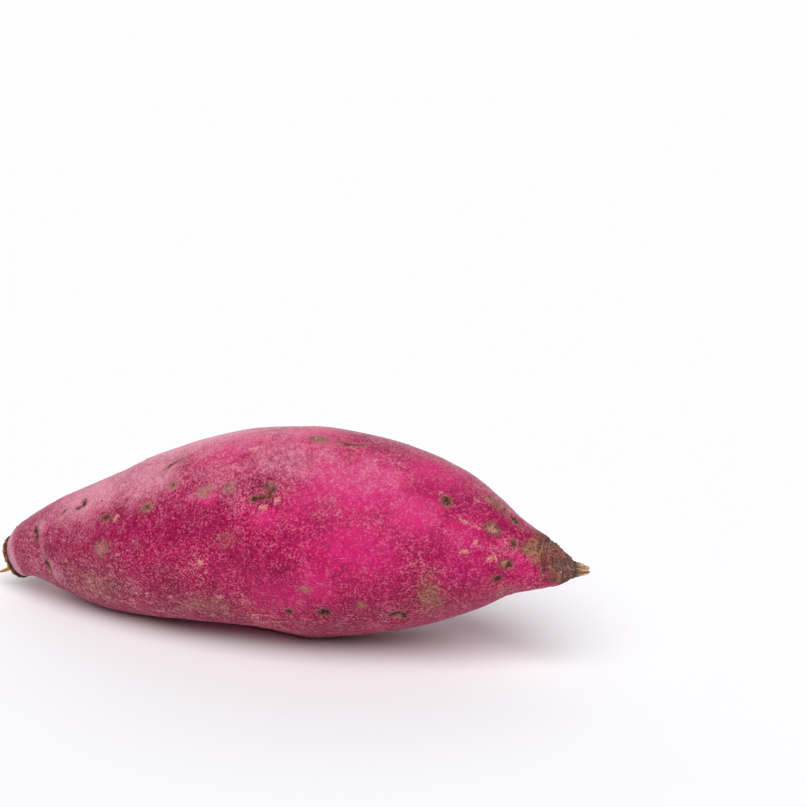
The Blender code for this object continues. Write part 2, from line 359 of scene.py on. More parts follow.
# Broad zones: X, angle, half length, half breadth, strength and, where there is one, a tilt.
# Tan and olive stains of dried soil:
STAINS = (
    (49.3, 336, 5, 11, 1.2),
    (73.6, 47, 3.4, 3.6, 1.5),
    (28.9, 357, 1.9, 1.5, 0.7),
    (39.9, 316.5, 1.6, 1.3, 1.2),
    (-4.3, 13, 8, 5.5, 0.9),
    (-22, 350, 13, 7, 0.6),
    (-39, 92, 11, 6, 0.7),
    (-31, 58, 6, 5, 0.6),
    (-41, 30, 6, 3.5, 0.7),
    (-33, 38, 5, 3.5, 0.6),
    (23.5, 68, 2.6, 9, 1, 8),
    (24.5, 92, 4, 3, 0.8),
    (-48, 338, 17, 9, 0.9),
    (-12, 332, 16, 8, 0.9),
    (-48, 52, 14, 8, 0.5),
    (40, 322, 16, 8, 0.4),
    (34.5, 29, 6, 6, 0.5),
    (60.5, 87, 3.6, 2.8, 1.3),
    (64, 86, 2.2, 2, 1.2),
    (55.7, 94, 2, 1.4, 1.1),
    (57.7, 18, 2, 1.4, 0.8),
    (64, 16, 2, 1.1, 1),
    (65.9, 316, 6, 5, 0.9),
    (62.7, 340, 4, 3, 0.6),
    (-62.8, 44, 2, 1.6, 0.9),
    (-38, 358, 5, 3, 0.7),
    (56, 150, 8, 9, 0.9),
    (-48, 190, 10, 12, 0.8),
    (10, 235, 14, 10, 0.9),
    (30, 118, 9, 7, 0.7),
    (-14, 150, 7, 9, 0.7),
    (36, 205, 6, 9, 0.8),
)
# The deepest crimson:
BLUSHES = (
    (-20, 22, 15, 6, 1.2),
    (-36, 22, 12, 6.5, 1.4),
    (2, 7, 9, 6, 0.9),
    (-46, 24, 9, 5.5, 1.3),
    (-59, 31, 9, 5, 1.1),
    (19, 28, 8, 6, 0.5),
    (65.1, 67, 3.4, 3.2, 1.2),
    (70, 74, 3, 3.6, 1.1),
    (45, 62, 6, 5, 0.6),
    (22, 88, 4, 2.5, 0.8),
    (20, 200, 20, 14, 0.9),
    (-30, 140, 16, 9, 0.8),
    (-14, 220, 14, 9, 0.8),
    (60, 200, 6, 7, 0.8),
)
# Bright magenta: partly the skin's own tone where it is thinnest, partly a painted highlight on the upper
# front:
GLOWS = (
    (32, 12, 12, 9, 0.6),
    (58, 6, 10, 9, 0.4),
    (28, 54, 14, 9, 1.1),
    (-8, 74, 13, 8, 0.6),
    (13, 80, 12, 8, 0.6),
    (20, 38, 9, 7, 0.6),
    (45, 76, 9, 8, 0.7),
    (44, 42, 8, 7, 0.9),
    (57, 32, 7, 7, 0.6),
    (7, 25, 3.5, 2.6, 0.8),
    (12, 344, 8, 5, 0.6),
    (21, 350, 5, 6, 0.7),
    (-11.5, 36, 3, 1.8, 0.9),
    (70, 10, 5, 5, 0.4),
    (34, 160, 14, 9, 0.9),
    (-2, 190, 14, 9, 0.6),
    (-50, 150, 9, 8, 0.6),
)
# A duller, browner crimson: partly painted shade on the lower front and belly, partly a browner tone where
# wet soil lay longest:
DULLS_AND_SHADE = (
    (-72, 350, 14, 12, 0.7),
    (-50, 338, 20, 11, 1),
    (-18, 324, 22, 9, 0.8),
    (12, 314, 22, 8, 0.7),
    (44, 320, 18, 9, 0.6),
    (0, 240, 60, 18, 0.7),
)
# Pale pink and grey-lilac zones: partly a dusty bloom where the skin was never rubbed, partly painted sheen
# on the top and round the stem end:
BLOOMS_AND_SHEEN = (
    (-84.2, 350, 2.4, 9, 1.6),
    (-85, 60, 1.6, 5, 0.8),
    (-85.5, 160, 2, 6, 0.8),
    (-84.5, 280, 2, 6, 0.6),
    (-64, 342, 3.6, 4.6, 0.5),
    (-68.6, 4, 1.9, 6, 0.6),
    (-28, 92, 33, 13, 0.9),
    (-9, 50, 16, 9, 0.4),
    (66, 28, 5, 4, 0.2),
    (-54, 62, 15, 9, 0.95),
    (-34, 60, 13, 9, 0.85),
    (8, 64, 18, 10, 0.55),
    (-2, 84, 20, 8, 0.5),
    (30, 62, 14, 9, 0.35),
    (-71, 40, 6, 5, 0.5),
    (-72, 344, 3.4, 5, 0.3),
)
# The tail's grey cork:
CORKS = (
    (82, 82, 10.4, 8),
    (81, 50, 9.8, 5),
    (84, 20, 8, 8),
    (85.5, 300, 5.8, 8),
    (-86.8, 310, 1.2, 9),
    (82, 150, 8.6, 8),
    (84, 230, 6.2, 8),
)
MARK_LIMIT = 3.0
# The side that faces away, for the marks there that are drawn at random.
BACK_X, BACK_ANGLE = (-74, 68), (100, 262)


def from_middle(skin, at, middle, half_length, half_breadth, tilt=0):
    """How far each place is from the middle of a mark, as a share of its half sizes."""
    along, across = skin.away(at, middle)
    cos, sin = math.cos(math.radians(tilt)), math.sin(math.radians(tilt))
    return np.hypot((along * cos + across * sin) / half_length, (across * cos - along * sin) / half_breadth)


def marked(skin, marks):
    """How far inside the nearest mark each place lies, in mm, less than 0 outside."""
    inside = np.full(len(skin.x), -MARK_LIMIT)
    for mark in marks:
        inside = np.maximum(inside, (1.0 - from_middle(skin, *mark)) * min(mark[2:4]))
    return np.clip(inside, -MARK_LIMIT, MARK_LIMIT)


def zoned(skin, zones):
    """How strongly the zones cover each place: their strength at the middle, fading out smoothly."""
    return np.max([zone[4] * bell(from_middle(skin, *zone[:4], *zone[5:]), 1.0) for zone in zones], axis=0)


def back_marks(seed, count, sizes):
    """Marks of one kind on the side that faces away, drawn at random."""
    draw = random.Random(seed)
    spots = []
    for _ in range(count):
        x, angle = draw.uniform(*BACK_X), draw.uniform(*BACK_ANGLE)
        spots.append((x, angle, draw.uniform(*sizes), draw.uniform(*sizes), draw.uniform(0, 180)))
    return tuple(spots)


# The scar in a dimple is about half its size, and a deeper one is turned further.
BACK_SCARS = tuple((x, angle, 0.55 * size, 0.5 * size, 40.0 * depth) for x, angle, size, depth in BACK_EYES)
BACK_SCABS = back_marks(seed=11, count=7, sizes=(0.8, 2.2))
BACK_FADED_SCABS = back_marks(seed=13, count=9, sizes=(0.9, 2.2))
BACK_RUBS = back_marks(seed=12, count=16, sizes=(0.4, 1.4))

# Relief too fine for the solid is drawn out along the root or round it by these factors.
ALONG, AROUND = (0.28, 1.0, 1.0), (1.0, 0.22, 0.22)
# Size and height of the wrinkles along the root, of its fine lumps, and of the wrinkles round its ends,
# which start and are full at these places along X.
WRINKLE, WRINKLE_HEIGHT = 1.3, 0.05
LUMP, LUMP_HEIGHT = 2.8, 0.035
END_WRINKLE, END_WRINKLE_HEIGHT = 1.1, 0.09
STEM_END, TAIL_END = (50.0, 74.0), (48.0, 66.0)
# The size of the grit in every mark, and of the streaks in cork.
GRIT, STREAK = 0.9, 0.8
# Each kind of mark: how far inside its edge its relief starts and is full, how much it rises, and the
# height of its grit and of its streaks.
MARK_RELIEF = (
    ("scab", -0.5, 0.4, 0.1, 0.12, 0),
    ("rub", -0.3, 0.3, 0.06, 0.06, 0),
    ("cork", -0.6, 1.0, 0.1, 0.22, 0.14),
    ("scar", -0.4, 0.4, -0.22, 0.34, 0),
)


def fine_relief(skin, fields):
    """Wrinkles, scabs and pits too small for the solid, in mm."""
    long_way = skin.plain * ALONG
    ends = ramp(-skin.x, *STEM_END) + ramp(skin.x, *TAIL_END)
    rise = WRINKLE_HEIGHT * grain(long_way, WRINKLE) + LUMP_HEIGHT * grain(skin.plain, LUMP)
    rise += END_WRINKLE_HEIGHT * ends * grain(skin.plain * AROUND, END_WRINKLE)
    grit, streaks = grain(skin.plain, GRIT), grain(long_way, STREAK)
    for kind, low, high, lift, gritty, streaked in MARK_RELIEF:
        rise += ramp(fields[kind], low, high) * (lift + gritty * grit + streaked * streaks)
    return rise


def plain_tube():
    """A tube with rings where the skin's rings stand, each turn at its own angle, closed to a point."""
    bm = bmesh.new()
    shares = [i / (RINGS - 1) for i in range(RINGS)]
    places = [STEM_X + (t - END_CROWDING * math.sin(2 * math.pi * t)) * (TAIL_X - STEM_X) for t in shares]
    outward = [math.sin(math.radians(turn)) for turn in ROUND_TURNS]
    places = [STEM_X - STEM_ROUND * out for out in reversed(outward)] + places
    places += [TAIL_X + TAIL_ROUND * out for out in outward]
    spokes = [(-math.cos(2 * math.pi * k / SIDES), math.sin(2 * math.pi * k / SIDES)) for k in range(SIDES)]
    rings = [[bm.verts.new((x, y, z)) for y, z in spokes] for x in places]
    stem_hub = bm.verts.new((STEM_X - STEM_ROUND, 0.0, 0.0))
    tail_hub = bm.verts.new((TAIL_X + TAIL_ROUND, 0.0, 0.0))
    for k in range(SIDES):
        after = (k + 1) % SIDES
        for ring, other in zip(rings, rings[1:]):
            bm.faces.new((ring[k], ring[after], other[after], other[k]))
        bm.faces.new((rings[0][after], rings[0][k], stem_hub))
        bm.faces.new((rings[-1][k], rings[-1][after], tail_hub))
    return bm


def smooth_mesh(bm, name):
    mesh = bpy.data.meshes.new(name)
    bm.to_mesh(mesh)
    bm.free()
    mesh.shade_smooth()
    return mesh


def root_skin():
    """The skin's mesh, refined round the scars while it is still a plain tube."""
    bm = plain_tube()
    middles = np.array([face.calc_center_median()[:] for face in bm.faces])
    plain = Skin(middles[:, 0], np.degrees(np.arctan2(middles[:, 2], -middles[:, 1])))
    near = np.zeros(len(middles), bool)
    for at, middle, size, _ in EYES:
        near |= np.hypot(*plain.away(at, middle)) < EYE_REACH * size
    for at, middle, reach in FINE_PLACES:
        near |= np.hypot(*plain.away(at, middle)) < reach
    edges = list({edge for face, close in zip(bm.faces, near) if close for edge in face.edges})
    bmesh.ops.subdivide_edges(bm, edges=edges, cuts=2, use_grid_fill=True)
    bmesh.ops.triangulate(bm, faces=[face for face in bm.faces if len(face.verts) > 4])
    mesh = smooth_mesh(bm, "root_skin")
    tube = np.zeros(len(mesh.vertices) * 3)
    mesh.vertices.foreach_get("co", tube)
    tube = tube.reshape(-1, 3)
    skin = Skin(tube[:, 0], np.degrees(np.arctan2(tube[:, 2], -tube[:, 1])))
    fields = {
        "scar": marked(skin, SCARS + BACK_SCARS),
        "scab": marked(skin, SCABS + BACK_SCABS),
        "faded_scab": marked(skin, FADED_SCABS + BACK_FADED_SCABS),
        "rub": marked(skin, RUBS + BACK_RUBS),
        "cork": marked(skin, CORKS),
        "stain": zoned(skin, STAINS),
        "blush": zoned(skin, BLUSHES),
        "glow": zoned(skin, GLOWS),
        "bloom": zoned(skin, BLOOMS_AND_SHEEN),
        "dull": zoned(skin, DULLS_AND_SHADE),
    }
    fields.update(loose_places(skin, fields))
    points = skin.points(fine_relief(skin, fields))
    mesh.vertices.foreach_set("co", (points * MM).ravel())
    for name, values in fields.items():
        layer = mesh.attributes.new(name, "FLOAT", "POINT")
        layer.data.foreach_set("value", values)
    mesh.update()
    return mesh


# Loose bits start and are full at these heights above the table. The stem's tip, which keeps a little
# soil, starts and is full at these places along -X.
CLEAR_OF_TABLE, STEM_TIP = (3.0, 6.0), (80.0, 84.0)
# Zones round the scars that keep a few dry root hairs:
HAIRY = (
    (-72.8, 34, 1, 1.2, 1),
    (-67, 345, 1, 1.2, 0.8),
    (-56.2, 55, 0.9, 1, 0.7),
    (4.6, 39, 2.2, 1.6, 0.7),
    (22.6, 80, 1.6, 0.4, 0.8),
    (66.5, 88, 1.2, 1, 1.3),
    (68.3, 42, 0.8, 0.9, 0.8),
    (21.6, 329, 1.1, 1, 0.6),
    (39.7, 320, 1.1, 0.8, 0.6),
    (76, 70, 3, 2.5, 0.35),
    (-30, 124, 1.5, 1.5, 0.8),
    (30, 170, 1.5, 1.5, 0.8),
)


def loose_places(skin, fields):
    """Where root hairs, flakes and crumbs of soil still hold on, from 0 to 1. None lie under the root."""
    clear = ramp(skin.plain[:, 2], *CLEAR_OF_TABLE)
    end = ramp(-skin.x, *STEM_TIP)
    # Soil holds best in scars and on cork, less on scabs, and barely on stains and at the stem's tip.
    soil = 0.5 * ramp(fields["scar"], -0.5, 0.2) + 0.2 * ramp(fields["scab"], -0.4, 0.4)
    soil += 0.4 * ramp(fields["cork"], 0.0, 1.5) + 0.03 * fields["stain"] + 0.05 * end
    return {
        "hairy": clear * zoned(skin, HAIRY),
        "flaky": clear * ramp(fields["rub"], 0.0, 0.25) + 0.08 * clear * ramp(fields["cork"], 0.0, 1.0),
        "soily": clear * np.clip(soil, 0.0, 1.0),
    }


def linear(code):
    """An sRGB hex code as linear red, green, blue and alpha."""
    channels = [int(code[k:k + 2], 16) / 255 for k in (1, 3, 5)]
    return (*[c / 12.92 if c <= 0.04045 else ((c + 0.055) / 1.055) ** 2.4 for c in channels], 1.0)


def fill(tree, socket, value):
    """Links the value to the socket where it comes from a node, and sets it there where it is fixed."""
    if isinstance(value, bpy.types.NodeSocket):
        tree.links.new(value, socket)
    else:
        socket.default_value = value


def add(tree, kind, *values, out=0, **named):
    """Adds a node and gives one of its outputs. The values fill its inputs in order. A name in small
    letters is a setting, and one with a capital is an input, with _ for a space."""
    node = tree.nodes.new(kind)
    for name, value in named.items():
        if name[0].islower():
            setattr(node, name, value)
    inputs = [socket for socket in node.inputs if socket.enabled]
    wanted = list(zip(inputs, values))
    wanted += [(socket, named[key]) for socket in inputs if (key := socket.name.replace(" ", "_")) in named]
    for socket, value in wanted:
        fill(tree, socket, value)
    outputs = [socket for socket in node.outputs if socket.enabled]
    if isinstance(out, str):
        return next(socket for socket in outputs if socket.name == out)
    return outputs[out] if outputs else node


def plus(tree, field, *others):
    """The field with others added to it, each times its own weight."""
    for other, weight in others:
        field = add(tree, "ShaderNodeMath", other, weight, field, operation="MULTIPLY_ADD")
    return field


def coats(tree, colour, *layers):
    """The colour with others laid over it in turn, each where its field rises from low to high."""
    for over, field, low, high, most in layers:
        share = add(tree, "ShaderNodeMapRange", field, low, high, 0.0, most, interpolation_type="SMOOTHSTEP")
        over = linear(over) if isinstance(over, str) else over
        colour = add(tree, "ShaderNodeMix", share, colour, over, data_type="RGBA")
    return colour


def new_material(name):
    material = bpy.data.materials.new(name)
    material.use_nodes = True
    return material, material.node_tree


def surfaced(material, **inputs):
    """The material, once the inputs of its shader are filled. Their names have _ for a space."""
    shader = material.node_tree.nodes["Principled BSDF"]
    for name, value in inputs.items():
        fill(material.node_tree, shader.inputs[name.replace("_", " ")], value)
    return material


def torn_edge(tree, name, ragged, reach):
    """How far inside a kind of mark the surface lies, in mm, with the edge torn by noise."""
    inside = add(tree, "ShaderNodeAttribute", attribute_name=name, out="Fac")
    tear = add(tree, "ShaderNodeMath", ragged, 0.5, operation="SUBTRACT")
    return add(tree, "ShaderNodeMath", tear, 2.0 * reach, inside, operation="MULTIPLY_ADD")


# Periderm: the living red skin, washed and dried in air. It is matt with a faint waxy shine, and feels
# # like fine sandpaper, so it looks grainy: crimson where it was rubbed, and dusty pink or tan elsewhere.
# # Its pale pink top and bright magenta upper front are partly painted sheen and highlight, and its lower
# # front is partly painted shade.
def periderm():
    material, tree = new_material("washed_red_periderm")
    place = add(tree, "ShaderNodeTexCoord", out="Object")
    shifted = add(tree, "ShaderNodeVectorMath", place, (0.31, 0.17, 0.53), operation="ADD")
    long_way = add(tree, "ShaderNodeVectorMath", place, (0.2, 1.0, 1.0), operation="MULTIPLY")
    round_way = add(tree, "ShaderNodeVectorMath", place, (1.0, 0.2, 0.2), operation="MULTIPLY")
    # Each pattern: its coordinates, the size of its grain in mm, its detail and its roughness.
    soft, grit, clump, mottle, cloud, band, streak = (
        add(tree, "ShaderNodeTexNoise", way, Scale=1 / (size * MM), Detail=detail, Roughness=rough)
        for way, size, detail, rough in (
            (place, 0.6, 2.0, 0.7),
            (shifted, 1.7, 4.0, 0.8),
            (place, 1.5, 3.0, 0.7),
            (place, 5.0, 3.0, 0.62),
            (shifted, 15.0, 3.0, 0.6),
            (round_way, 4.0, 3.0, 0.6),
            (long_way, 0.9, 3.0, 0.65),
        )
    )
    grains = add(tree, "ShaderNodeTexVoronoi", place, Scale=1 / (0.42 * MM), out="Color")
    speck = add(tree, "ShaderNodeMath", soft, 0.55, operation="MULTIPLY")
    speck = plus(tree, speck, (grains, 0.45))
    glow, blush, stain, bloom, dull = (
        add(tree, "ShaderNodeAttribute", attribute_name=name, out="Fac")
        for name in ("glow", "blush", "stain", "bloom", "dull")
    )

    # The red itself, in clouds and faint bands, with bright magenta and deep crimson patches. The bright
    # magenta is partly painted highlight, and the duller crimson partly painted shade.
    colour = coats(
        tree, linear("#A00A4C"),
        ("#C4165C", cloud, 0.36, 0.64, 1.0),
        # Painted highlight on the upper front, over the skin's own bright magenta.
        ("#D41A72", plus(tree, glow, (mottle, 0.7)), 0.25, 1.3, 0.9),
        ("#AA034E", plus(tree, blush, (mottle, 1.2)), 0.65, 1.4, 0.95),
        # Painted shade low on the front and under the belly, over a browner tone of the skin.
        ("#842840", plus(tree, dull, (mottle, 1.2)), 0.5, 1.6, 0.8),
        ("#8E0A42", plus(tree, mottle, (glow, 0.24)), 0.54, 0.3, 0.7),
        ("#DE3A82", band, 0.5, 0.72, 0.35),
        ("#D890A0", plus(tree, streak, (dull, 0.14)), 0.62, 0.74, 0.55),
    )
    # The grit, which is finer on the root and is drawn as coarse as it needs to show.
    colour = coats(
        tree, colour,
        ("#6A0434", plus(tree, speck, (glow, 0.24)), 0.56, 0.28, 0.88),
        ("#DE5C80", plus(tree, speck, (blush, -0.06), (glow, -0.08)), 0.49, 0.7, 0.5),
        ("#7E063E", plus(tree, grit, (glow, 0.05)), 0.52, 0.28, 0.62),
    )
    # The dust of dead cork cells, thin over the red ones, and thicker where less was rubbed off.
    dusk = add(tree, "ShaderNodeMath", cloud, 1.2, operation="MULTIPLY")
    dusk = plus(tree, dusk, (mottle, 1.3), (grit, 0.8), (speck, 1.7), (stain, 0.2))
    dusk = plus(tree, dusk, (blush, -0.65), (glow, -0.52))
    crowd = plus(tree, grit, (stain, 0.3), (speck, 0.9), (blush, -0.22), (glow, -0.14))
    veil_and_sheen = plus(tree, bloom, (mottle, 0.9), (grit, 1.0), (speck, 1.0))
    smooth = add(tree, "ShaderNodeMath", glow, bloom, operation="ADD")
    smooth = plus(tree, speck, (smooth, -0.2))
    colour = coats(
        tree, colour,
        ("#CC7480", dusk, 2.68, 3.44, 0.95),
        ("#8A5E48", plus(tree, stain, (mottle, 0.8)), 0.95, 1.7, 0.55),
        ("#A87C5C", crowd, 1.12, 1.56, 0.72),
        ("#ECBCAE", dusk, 3.04, 3.5, 0.8),
        # Partly a dusty bloom and partly painted sheen: pale pink on the top, grey-lilac round the stem end.
        ("#E092A6", veil_and_sheen, 1.4, 2.55, 0.88),
        ("#C8A0C0", bloom, 1.0, 1.6, 0.8),
        ("#C44A80", smooth, 0.3, 0.14, 0.45),
    )
    # The marks: rubs, scabs nearly grown over, fresh scabs, cork and dark scars.
    rub = torn_edge(tree, "rub", speck, 1.0)
    faded = torn_edge(tree, "faded_scab", grit, 3.2)
    healed = torn_edge(tree, "faded_scab", speck, 3.0)
    scab = torn_edge(tree, "scab", grit, 2.2)
    cork = torn_edge(tree, "cork", clump, 4.2)
    scar = torn_edge(tree, "scar", speck, 1.5)
    scab_colour = coats(
        tree, linear("#744E42"),
        ("#C0927C", scab, 0.2, 1.2, 1.0),
        ("#4C3832", speck, 0.48, 0.36, 0.5),
    )
    cork_colour = coats(
        tree, linear("#8A5648"),
        ("#5E5048", mottle, 0.42, 0.58, 1.0),
        ("#B08A6A", clump, 0.5, 0.7, 0.8),
        ("#A87058", plus(tree, stain, (clump, 1.0)), 0.9, 1.5, 0.85),
        ("#3E2A2A", band, 0.5, 0.36, 0.75),
        ("#3A2624", speck, 0.5, 0.32, 0.75),
    )
    scar_colour = coats(
        tree, linear("#24120F"),
        ("#6A4030", speck, 0.48, 0.66, 1.0),
        ("#7E2238", grit, 0.52, 0.68, 0.8),
    )
    colour = coats(
        tree, colour,
        ("#DDA090", rub, -0.3, 0.5, 0.55),
        ("#8E7454", faded, -1.1, 0.2, 0.48),
        ("#C47484", healed, 0.3, 1.1, 0.65),
        (scab_colour, scab, -0.7, 0.5, 0.75),
        (cork_colour, cork, -1.5, 1.4, 0.88),
        ("#B07A6A", scar, -1.0, -0.4, 0.4),
        (scar_colour, scar, -0.5, 0.3, 0.9),
    )

    corky = add(tree, "ShaderNodeMath", scab, cork, operation="MAXIMUM")
    corky = add(tree, "ShaderNodeMath", corky, scar, operation="MAXIMUM")
    rough = add(tree, "ShaderNodeMapRange", grit, 0.35, 0.65, 0.34, 0.54)
    dry = add(tree, "ShaderNodeMapRange", corky, -0.3, 0.3, 0.0, 0.85)
    rough = add(tree, "ShaderNodeMath", rough, dry, operation="MAXIMUM")
    height = plus(tree, grit, (streak, 0.4), (speck, 0.5))
    bump = add(tree, "ShaderNodeBump", Height=height, Strength=0.7, Distance=0.35 * MM)
    return surfaced(material, Base_Color=colour, Roughness=rough, IOR=1.45, Specular_IOR_Level=0.12,
                    Sheen_Weight=0.12, Sheen_Roughness=0.35, Normal=bump)


def finish_piece(piece, material=None):
    """Puts the piece in the scene and on the root, with the material if one is given."""
    if piece.name not in bpy.context.scene.collection.objects:
        bpy.context.scene.collection.objects.link(piece)
    if material:
        piece.data.materials.clear()
        piece.data.materials.append(material)
    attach(piece, "root")


skin = bpy.data.objects.new("root_skin", root_skin())
finish_piece(skin, periderm())
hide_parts("sweet_potato")

# The stem scar. Where the root was snapped off its stem, a thin cap of dead cork has dried over the
# wound. Its lip is ragged and stands a little proud of the skin, round a shallow dished middle.

# From the skin inwards: share of the root's end, how far out from it, and how ragged it is there.
SCAR_PROFILE = (
    (0.99, -1.1, 0.0),
    (1.04, -0.8, 0.12),
    (1.08, -0.2, 0.22),
    (1.08, 0.5, 0.28),
    (1.04, 1.1, 0.3),
    (0.98, 1.5, 0.35),
    (0.9, 1.3, 0.35),
    (0.8, 0.95, 0.35),
    (0.64, 0.75, 0.3),
    (0.45, 1.05, 0.35),
    (0.25, 0.85, 0.3),
)
SCAR_SIDES = 168
# The size of its chips, and their reach sideways as a share of that outwards. Chips a third that size
# add half as much. The crest stands this far out, and only on rings larger than the last share.
SCAR_CHIP, SCAR_CHIP_SIDEWAYS = 1.1, 0.6
SCAR_CREST, SCAR_CREST_SHARE = 1.0, 0.85


def join_rings(bm, rings):
    """Faces between each ring of points and the next."""
    for ring, other in zip(rings, rings[1:]):
        for k in range(len(ring)):
            after = (k + 1) % len(ring)
            bm.faces.new((ring[k], ring[after], other[after], other[k]))


def stem_scar_mesh():
    """Rings that follow the root's end, roughened by noise, from under the lip to the middle."""
    angles = np.arange(SCAR_SIDES) * 360.0 / SCAR_SIDES
    end = Skin(np.full(SCAR_SIDES, STEM_X), angles)
    outline = end.points(0.0)
    hub = outline.mean(axis=0)
    outward = np.array((-1.0, 0.0, STEM_LEAN)) / math.hypot(1.0, STEM_LEAN)
    bm = bmesh.new()
    crest = bm.verts.layers.float.new("crest")
    rings = []
    for share, out, ragged in SCAR_PROFILE:
        ring = hub + (outline - hub) * share + outward * out
        chips = grain(ring, SCAR_CHIP) + 0.5 * grain(ring + 40.0, SCAR_CHIP / 3)
        away = (outline - hub) / np.linalg.norm(outline - hub, axis=1)[:, None]
        ring = ring + outward * (ragged * chips)[:, None]
        ring = ring + away * (SCAR_CHIP_SIDEWAYS * ragged * chips)[:, None]
        made = [bm.verts.new(point * MM) for point in ring]
        for vertex in made:
            vertex[crest] = max(0.0, 1.0 - abs(out - SCAR_CREST)) if share > SCAR_CREST_SHARE else 0.0
        rings.append(made)
    middle = bm.verts.new((hub + outward * SCAR_PROFILE[-1][1]) * MM)
    join_rings(bm, rings)
    for k in range(SCAR_SIDES):
        bm.faces.new((rings[-1][k], rings[-1][(k + 1) % SCAR_SIDES], middle))
    bm.faces.new(reversed(rings[0]))
    bmesh.ops.recalc_face_normals(bm, faces=bm.faces)
    return smooth_mesh(bm, "stem_scar")


# Wound cork: dead bark, dried hard in air. It is dull and crumbly and dark in its pits. Its thin crest
# # is painted orange, as light shining through it.
def wound_cork():
    material, tree = new_material("dried_wound_cork")
    place = add(tree, "ShaderNodeTexCoord", out="Object")
    crumb = add(tree, "ShaderNodeTexNoise", place, Scale=1 / (0.5 * MM), Detail=3.0, Roughness=0.7)
    scale = add(tree, "ShaderNodeTexNoise", place, Scale=1 / (1.6 * MM), Detail=3.0, Roughness=0.6)
    crest = add(tree, "ShaderNodeAttribute", attribute_name="crest", out="Fac")
    colour = coats(
        tree, linear("#3B241B"),
        ("#6E4630", scale, 0.42, 0.62, 1.0),
        ("#1E120F", crumb, 0.46, 0.36, 0.8),
        # Painted light shining through the thin crest.
        ("#C0783A", plus(tree, crest, (crumb, 1.0), (scale, 1.4)), 1.45, 2.1, 0.9),
    )
    bump = add(tree, "ShaderNodeBump", Height=crumb, Strength=0.9, Distance=0.4 * MM)
    return surfaced(material, Base_Color=colour, Roughness=0.85, Specular_IOR_Level=0.3, Normal=bump)


stem_scar = bpy.data.objects.new("stem_scar", stem_scar_mesh())
finish_piece(stem_scar, wound_cork())

# The dried stub and the tail fibres. Each is a bundle of woody threads that were the core of a root:
# the stub hangs from the stem scar, and the tail's threads splay where the root was snapped off.

# Points of each path with the bundle's radius there.
STUB_PATH = (
    ((-82.2, 1.6, 7.9), 1.0),
    ((-85.0, 1.3, 6.5), 0.72),
    ((-87.2, 1.1, 5.3), 0.52),
    ((-90.0, 0.8, 4.1), 0.42),
    ((-92.6, 0.3, 3.7), 0.2),
)
TUFT_PATH = (
    ((79.5, -1.7, 26.7), 2.2),
    ((82.4, -1.8, 26.6), 2.0),
    ((84.6, -1.9, 26.8), 1.65),
    ((87.0, -1.9, 27.1), 1.15),
)
BUNDLE_INPUTS = {
    "Path": "Geometry", "Fibres": "Int", "Thickness": "Float", "Shortest": "Float", "Twist": "Float",
    "Wander": "Float", "Seed": "Int", "Material": "Material",
}
FIBRE_POINTS, FIBRE_SIDES = 12, 5
# A fibre wanders in bends of this size. Its thickness differs from the given one by a factor between
# these two, and from this share of its length it tapers to this share of its thickness.
FIBRE_BEND = 1.4
FIBRE_LEAST, FIBRE_MOST = 0.6, 1.4
TAPER_FROM, TIP_SHARE = 0.6, 0.45


def new_tree(name, inputs):
    """An empty geometry tree with those inputs, each a name and a kind of socket."""
    tree = bpy.data.node_groups.new(name, "GeometryNodeTree")
    tree.interface.new_socket("Geometry", in_out="OUTPUT", socket_type="NodeSocketGeometry")
    for label, kind in inputs.items():
        tree.interface.new_socket(label, in_out="INPUT", socket_type="NodeSocket" + kind)
    return tree


def grown(name, own, tree, values):
    """What the tree makes of the object's own data, as an object with a plain mesh."""
    maker = bpy.data.objects.new(name + "_maker", own)
    bpy.context.scene.collection.objects.link(maker)
    modifier = maker.modifiers.new("grow", "NODES")
    modifier.node_group = tree
    for item in tree.interface.items_tree:
        if item.in_out == "INPUT" and item.name in values:
            modifier[item.identifier] = values[item.name]
    graph = bpy.context.evaluated_depsgraph_get()
    mesh = bpy.data.meshes.new_from_object(maker.evaluated_get(graph))
    maker.modifiers.remove(modifier)
    bpy.data.objects.remove(maker)
    mesh.name = name
    return bpy.data.objects.new(name, mesh)


def play(tree, place, size, amount):
    """A shift that wanders from place to place, in bends of a size in mm."""
    way = add(tree, "ShaderNodeTexNoise", place, Scale=1 / (size * MM), Detail=1.0, out="Color")
    way = add(tree, "ShaderNodeVectorMath", way, (0.5, 0.5, 0.5), operation="SUBTRACT")
    return add(tree, "ShaderNodeVectorMath", way, Scale=amount, operation="SCALE")


